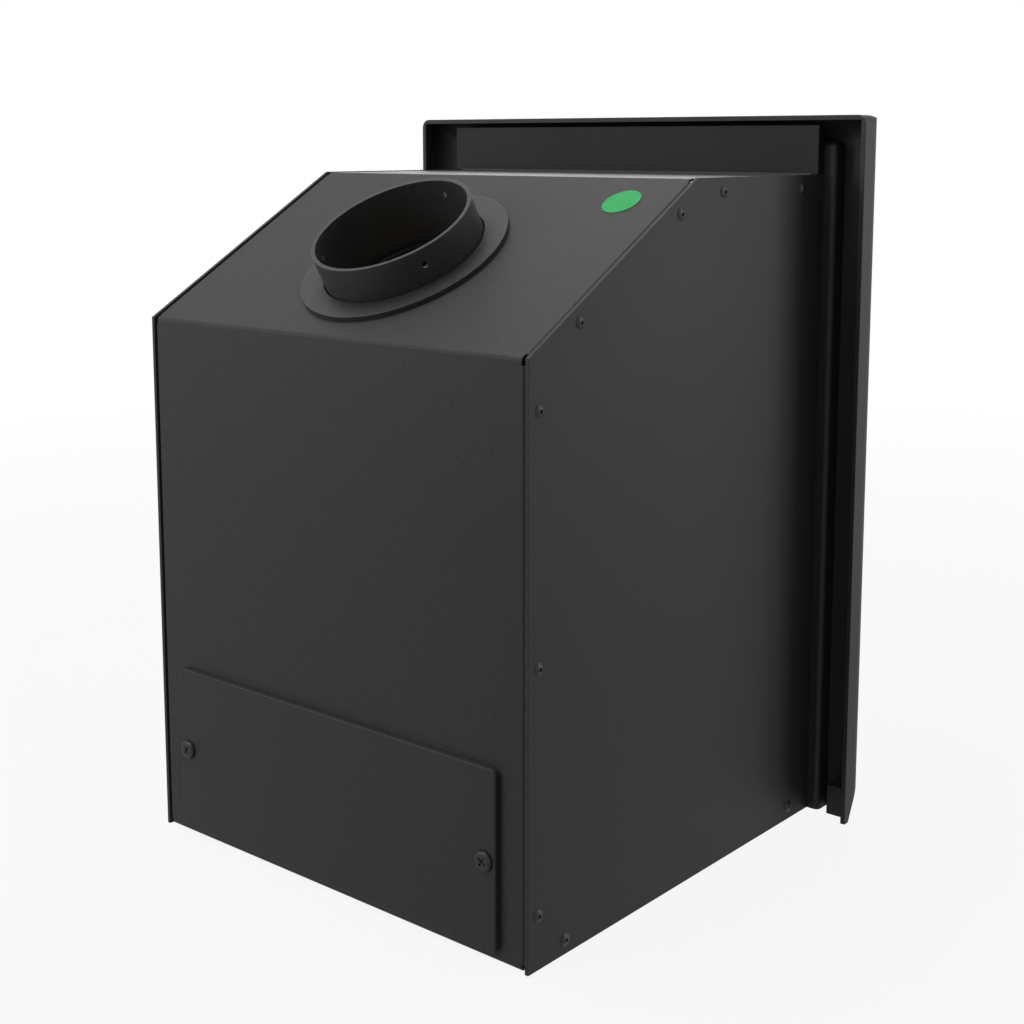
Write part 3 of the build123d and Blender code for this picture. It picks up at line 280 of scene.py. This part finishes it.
# The grate, its riddling plate and the fuel guard: unpainted cast iron, sand-cast and shot-blasted, dark grey
# with brown bloom in the hollows and a rubbed grey on the top of the bars.
bare_iron, place = new_finish("bare_cast_iron", {"Metallic": 0.55, "Specular IOR Level": 0.3})
sand = noise(place, 420, 4)
rust = ramp(noise(place, 38, 5), 0.5, 0.68)
soft, rubbed = edge_of(place, 0.0012)
iron = mixed(sand, grey(0.045), grey(0.12, 0.02))
iron = mixed(rust * 0.55, iron, (0.085, 0.042, 0.022, 1))
vary(bare_iron,
     Base_Color=mixed(rubbed * 0.5, iron, grey(0.24)),
     Roughness=0.55 + 0.25 * rust,
     Normal=bumped(sand, 0.0005, 0.7, soft))
dress(bare_iron, "fixed_grate", "riddling_grate", "fuel_guard", "guard_brackets")

# The riddling rod with its knob, the other knobs, the hinge pins and the handle: steel bar, turned or bent and then
# linished to a satin, so fine scratches run round the turned parts and along the lever.


def satin_steel(name, scale, level):
    """Linished steel with its grain drawn out along the short axis of the scale."""
    material, place = new_finish(name, {"Metallic": 1.0})
    scratch = noise(stretched(place, *scale), 1, 4)
    smear = noise(place, 45, 3)
    tone = mixed(scratch * 0.6 + smear * 0.4, grey(level * 0.72), grey(level * 1.12))
    return vary(material, Base_Color=tone, Roughness=0.2 + 0.16 * scratch + 0.12 * smear,
                Normal=bumped(scratch, 0.00004, 0.5))


turned_steel = satin_steel("turned_satin_steel", (500, 6000, 500), 0.6)
lever_steel = satin_steel("linished_lever_steel", (260, 5200, 5200), 0.6)
dress(turned_steel, "riddling_rod", "riddling_knob", "drawer_knobs", "air_wheel_bolt", "slider_knob",
      "handle_shaft", "hinge_pins")
dress(lever_steel, "door_handle", "latch_cam", "latch_keeper")

# The flue collar and its trim ring: the collar is one casting bolted on a fibre gasket, machined at its rim and
# painted, and the loose ring round it hides the gap. The surface is coarser and darker than the casing's coat, with
# a painted highlight along its edges, and darker still in the bore.
collar_middle = Vector((0, 0.27846, 0.48698))
collar_lean = Vector((0, 0.505076, 0.863075))
bore_radius = 0.0632
bore_blend = 0.0004
bore_grey = 0.012


def cast_paint(name, dark, light, edge_highlight_grey, roughness, grain_per_metre, edge_radius):
    """Heat paint over a sand casting: rolling surface, coarse grain, and a painted highlight along the edges."""
    material, place = new_finish(name, {"Specular IOR Level": 0.25})
    sand = noise(place, grain_per_metre, 4)
    roll = noise(place, 45, 2)
    soft, edge = edge_of(place, edge_radius)
    tone = mixed(ramp(sand, 0.3, 0.7) * 0.6 + roll * 0.4, grey(dark), grey(light))
    # Painted highlight: the paint is mixed towards a lighter grey near every edge.
    tone = mixed(edge * 0.55, tone, grey(edge_highlight_grey))
    vary(material, Base_Color=tone, Roughness=roughness + 0.15 * sand,
         Normal=bumped(sand * 0.5 + roll * 0.5, 0.0006, 0.5, soft))
    return material, place, tone


collar_paint, place, tone = cast_paint("painted_collar_casting", 0.012, 0.034, 0.18, 0.48, 620, 0.0009)
from_middle = place.node("VectorMath", {"operation": "SUBTRACT"}, {0: place, 1: collar_middle})
height = from_middle.node("VectorMath", {"operation": "DOT_PRODUCT"}, {0: from_middle, 1: collar_lean}, "Value")
along_axis = height.node("VectorMath", {"operation": "SCALE"}, {0: collar_lean, "Scale": height})
off_axis = place.node("VectorMath", {"operation": "SUBTRACT"}, {0: from_middle, 1: along_axis})
radius = place.node("VectorMath", {"operation": "LENGTH"}, {0: off_axis}, "Value")
# Darker inside the bore: the paint is mixed a little towards a near-black grey there.
in_bore = ramp(1 - radius, 1 - bore_radius - bore_blend, 1 - bore_radius + bore_blend)
vary(collar_paint, Base_Color=mixed(in_bore * 0.15, tone, grey(bore_grey)))
dress(collar_paint, "flue_collar", "flue_trim_ring")

# The inspection label: a small round of green vinyl pressed on the slope by hand, left bare. It is satin, and its
# surface shows the texture of the powder coat underneath.
label_vinyl, place = new_finish("green_label_vinyl", {"Specular IOR Level": 0.12})
under = noise(place, 900, 2)
soft, border = edge_of(place, 0.0008)
green = mixed(noise(place, 120, 3), (0.014, 0.29, 0.072, 1), (0.025, 0.36, 0.10, 1))
vary(label_vinyl,
     Base_Color=mixed(border * 0.3, green, (0.20, 0.55, 0.30, 1)),
     Roughness=0.45 + 0.15 * under,
     Normal=bumped(under, 0.00008, 0.6, soft))
dress(label_vinyl, "inspection_label")

# The fascia: one iron casting with a raised moulded border, finished in black heat paint, bolted to the firebox.
# The door frame, the hinge brackets, the drawer's front and the air wheel are cast and painted with it.
# The fascia's edges get the same painted highlight, fainter.
fascia_paint = cast_paint("painted_fascia_casting", 0.010, 0.021, 0.06, 0.5, 640, 0.0011)[0]
dress(fascia_paint, "fascia", "door_frame", "hinge_brackets", "drawer_front", "air_wheel")

# The rope seals of the door and the drawer: three strands of glass yarn twisted together, glued in the groove
# behind the casting and nipped against the fascia. The yarn is grey, with paler broken fibres on its crests.
rope_yarn, place = new_finish("glass_rope_yarn", {"Specular IOR Level": 0.2, "Sheen Weight": 0.3})
fibre = noise(place, 1900, 3)
handled = noise(place, 60, 3)
vary(rope_yarn,
     Base_Color=mixed(fibre * 0.6 + handled * 0.4, grey(0.09), grey(0.30, 0.02)),
     Roughness=0.85 + 0.1 * fibre,
     Normal=bumped(fibre, 0.0003, 0.8))


def loop_round(half, low, high, corner, step):
    """Points of a rounded rectangle in x and z, with the direction that points away from its middle."""
    middle_z = (low + high) / 2
    straights = ((half, low + corner, half, high - corner), (half - corner, high, corner - half, high),
                 (-half, high - corner, -half, low + corner), (corner - half, low, half - corner, low))
    loop = []
    for turn, (x0, z0, x1, z1) in enumerate(straights):
        angle = turn * pi / 2
        count = round(hypot(x1 - x0, z1 - z0) / step)
        for index in range(count):
            share = index / count
            loop.append((x0 + share * (x1 - x0), z0 + share * (z1 - z0), cos(angle), sin(angle)))
        arc_x = (half - corner) * (1 if turn in (0, 3) else -1)
        arc_z = middle_z + (high - middle_z - corner) * (1 if turn in (0, 1) else -1)
        count = max(4, round(corner * pi / 2 / step))
        for index in range(count):
            turned = angle + pi / 2 * index / count
            loop.append((arc_x + corner * cos(turned), arc_z + corner * sin(turned), cos(turned), sin(turned)))
    return loop


def twisted_rope(name, node, body, half, low, high, corner, middle_y, width, depth, pitch):
    """A rope of three strands round an opening, in place of its plain solid."""
    sides, steps_in_pitch, strands = 7, 9, 3
    lay_share, yarn_share = 0.235, 0.262
    loop = loop_round(half, low, high, corner, pitch / steps_in_pitch)
    turns = round(len(loop) / steps_in_pitch)
    lay_x, lay_y = width * lay_share, depth * lay_share
    yarn_x, yarn_y = width * yarn_share, depth * yarn_share
    points, faces = [], []
    for strand in range(strands):
        centres = []
        for index, (x, z, out_x, out_z) in enumerate(loop):
            angle = tau * (strand / strands + turns * index / len(loop))
            out = lay_x * cos(angle)
            centres.append(Vector((x + out * out_x, middle_y + lay_y * sin(angle), z + out * out_z)))
        faces += tube_faces(len(points), len(loop), sides, True)
        for index, centre in enumerate(centres):
            ahead = centres[(index + 1) % len(loop)] - centres[index - 1]
            outward = Vector((loop[index][2], 0, loop[index][3]))
            across = ahead.cross(outward).normalized()
            outward = across.cross(ahead).normalized()
            for side in range(sides):
                angle = tau * side / sides
                points.append(centre + outward * yarn_x * cos(angle) + across * yarn_y * sin(angle))
    rope = mesh_piece(name, points, faces, rope_yarn, body)
    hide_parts(node)


twisted_rope("door_seal_rope", "door_rope_seal", "fire_door", half=0.1665, low=0.1265, high=0.4895, corner=0.0165,
             middle_y=-0.0199, width=0.006, depth=0.0052, pitch=0.011)
twisted_rope("drawer_seal_rope", "drawer_seal", "ash_drawer", half=0.141, low=0.025, high=0.093, corner=0.007,
             middle_y=-0.01915, width=0.004, depth=0.0037, pitch=0.008)

# The tape under the glass: flat woven glass tape, the same grey as the rope, with the crossing yarns of a plain
# weave. It is stuck to the pane and nipped between pane and door.
woven_tape, place = new_finish("woven_glass_tape", {"Specular IOR Level": 0.2})
bands_per_metre = 100
warp = place.node("TexWave", {"bands_direction": "DIAGONAL"}, {"Vector": place, "Scale": bands_per_metre})
weft = place.node("TexWave", {"bands_direction": "Z"}, {"Vector": place, "Scale": bands_per_metre})
weave = warp * weft
vary(woven_tape,
     Base_Color=mixed(weave, grey(0.12), grey(0.30, 0.02)),
     Roughness=0.85 + 0.1 * noise(place, 900),
     Normal=bumped(weave, 0.0004, 0.7))
dress(woven_tape, "glass_gasket")

# The gasket under the flue collar: a ring cut from graphite-faced fibre board, squeezed between casting and firebox.
# It is dark and dull, with matted fibres and a sooty bloom where it shows inside the bore.
fibre_board, place = new_finish("graphite_fibre_board", {"Specular IOR Level": 0.15})
matting = noise(stretched(place, 500, 900, 900), 1, 4)
soot = noise(place, 40, 3)
vary(fibre_board,
     Base_Color=mixed(matting * 0.5 + soot * 0.5, grey(0.012), grey(0.045)),
     Roughness=0.85 + 0.1 * matting,
     Normal=bumped(matting, 0.0002, 0.6))
dress(fibre_board, "collar_gasket")

# The window: clear ceramic glass, held in the door by four clips over the woven tape. It is smooth and very
# slightly smoked, with faint haze left by cleaning.
stove_glass, place = new_finish("clear_ceramic_glass", {"Transmission Weight": 1.0, "IOR": 1.5})
haze = ramp(noise(stretched(place, 5, 5, 16), 1, 4), 0.45, 0.8)
vary(stove_glass,
     Base_Color=mixed(haze, (0.90, 0.91, 0.89, 1), (0.82, 0.82, 0.79, 1)),
     Roughness=0.02 + 0.06 * haze)
dress(stove_glass, "door_glass")

# The grip of the handle: a turned sleeve of dark heat-proof resin on the end of the lever, satin, with the fine
# rings of the lathe round it.
resin, place = new_finish("heat_proof_resin_grip", {"Specular IOR Level": 0.45})
rings = place.node("TexWave", {"bands_direction": "X"}, {"Vector": place, "Scale": 260})
mottle = noise(place, 320, 3)
vary(resin,
     Base_Color=mixed(mottle, grey(0.012), grey(0.024)),
     Roughness=0.3 + 0.12 * mottle,
     Normal=bumped(rings, 0.00004, 0.4))
dress(resin, "handle_grip")

# The ash pan: folded from thin steel sheet with its ends welded in, sprayed grey-black on both sides and scraped
# bright along its top edge and across its floor by ash shovels.
pan_paint, place = new_finish("scuffed_pan_paint", {"Specular IOR Level": 0.35})
scrape = ramp(noise(stretched(place, 900, 30, 200), 1, 3), 0.66, 0.72)
worn = ramp(noise(place, 16, 3), 0.5, 0.75)
soft, edge = edge_of(place, 0.0008)
pan_tone = mixed(noise(place, 700, 2), grey(0.035), grey(0.065))
bare = scrape * worn + edge * 0.6
vary(pan_paint,
     Base_Color=mixed(bare * 0.7, pan_tone, grey(0.34)),
     Roughness=0.5 + 0.15 * worn,
     Normal=bumped(noise(place, 700, 2), 0.0001, 0.5, soft))
dress(pan_paint, "ash_pan", "ash_pan_ends")

# The studio: a plain pale floor that runs out to white, a white surround, four soft boxes and the camera of the
# photograph, which looks at the stove from behind and to its left.
floor_half = 6.0
floor_share = 0.9
bright_near, bright_far = 0.75, 2.3
ambient = 0.16


def seen(shade):
    """1 for a ray that shows the surround itself, to the camera or in metal and glass."""
    path = "LightPath"
    shown = shade.node(path, output="Is Camera Ray") + shade.node(path, output="Is Glossy Ray")
    shown = shown + shade.node(path, output="Is Transmission Ray")
    return ramp(shown, 0, 1)


floor_paint = bpy.data.materials.new("pale_studio_floor")
floor_paint.use_nodes = True
floor_tree = floor_paint.node_tree
floor_tree.nodes.remove(floor_tree.nodes["Principled BSDF"])
start = Shade(floor_tree)
place = start.node("TexCoord", output="Object")
distance = place.node("VectorMath", {"operation": "LENGTH"}, {0: place}, "Value")
plain = start.node("BsdfDiffuse", None, {"Color": grey(0.42)})
glow = start.node("Emission", None, {"Color": grey(1.0), "Strength": 1.0})
share = seen(start) * (floor_share + (1 - floor_share) * ramp(distance, bright_near, bright_far))
floor_shade = start.node("MixShader", None, {0: share, 1: plain, 2: glow})
floor_tree.links.new(floor_shade.socket, floor_tree.nodes["Material Output"].inputs["Surface"])
floor_mesh = bpy.data.meshes.new("studio_floor")
floor_mesh.from_pydata([(-floor_half, -floor_half, 0), (floor_half, -floor_half, 0), (floor_half, floor_half, 0),
                        (-floor_half, floor_half, 0)], [], [(0, 1, 2, 3)])
floor_mesh.materials.append(floor_paint)
floor = bpy.data.objects.new("studio_floor", floor_mesh)
bpy.context.scene.collection.objects.link(floor)

world = bpy.data.worlds.new("white_surround")
bpy.context.scene.world = world
world.use_nodes = True
start = Shade(world.node_tree)
surround = world.node_tree.nodes["Background"]
surround.inputs["Color"].default_value = grey(1.0)
world.node_tree.links.new((ambient + (1 - ambient) * seen(start)).socket, surround.inputs["Strength"])


def soft_box(name, place, target, width, height, power):
    """A soft rectangular lamp that points at a place on the stove."""
    lamp = bpy.data.lights.new(name, "AREA")
    lamp.shape = "RECTANGLE"
    lamp.size = width
    lamp.size_y = height
    lamp.energy = power
    box = bpy.data.objects.new(name, lamp)
    box.location = place
    box.rotation_euler = (Vector(target) - Vector(place)).to_track_quat("-Z", "Y").to_euler()
    box.visible_camera = False
    bpy.context.scene.collection.objects.link(box)


soft_box("overhead_box", (0.35, 0.6, 2.05), (0, 0.25, 0.45), 1.3, 1.1, 27)
soft_box("rear_right_box", (1.3, 2.0, 0.9), (0, 0.3, 0.35), 1.0, 1.0, 21)
soft_box("left_box", (-2.0, -1.5, 0.9), (-0.17, 0.1, 0.3), 1.4, 1.6, 28)
soft_box("front_right_box", (1.4, -2.0, 1.6), (0, 0, 0.3), 1.4, 1.4, 34)

photo_pixels = 1024.0
lens_pixels, shift_pixels = 1618.0, 135
sensor = 36.0
eye = (-0.874, 1.1813, 0.575)
turn, tilt = radians(40.29), radians(8.25)
view = bpy.data.cameras.new("photograph_camera")
view.sensor_fit = "HORIZONTAL"
view.sensor_width = sensor
view.lens = sensor * lens_pixels / photo_pixels
view.shift_y = -shift_pixels / photo_pixels
view.clip_start = 0.02
camera = bpy.data.objects.new("photograph_camera", view)
camera.location = eye
ahead = Vector((sin(turn) * cos(tilt), -cos(turn) * cos(tilt), -sin(tilt)))
camera.rotation_euler = ahead.to_track_quat("-Z", "Y").to_euler()
bpy.context.scene.collection.objects.link(camera)
bpy.context.scene.camera = camera
bpy.context.scene.view_settings.view_transform = "Standard"
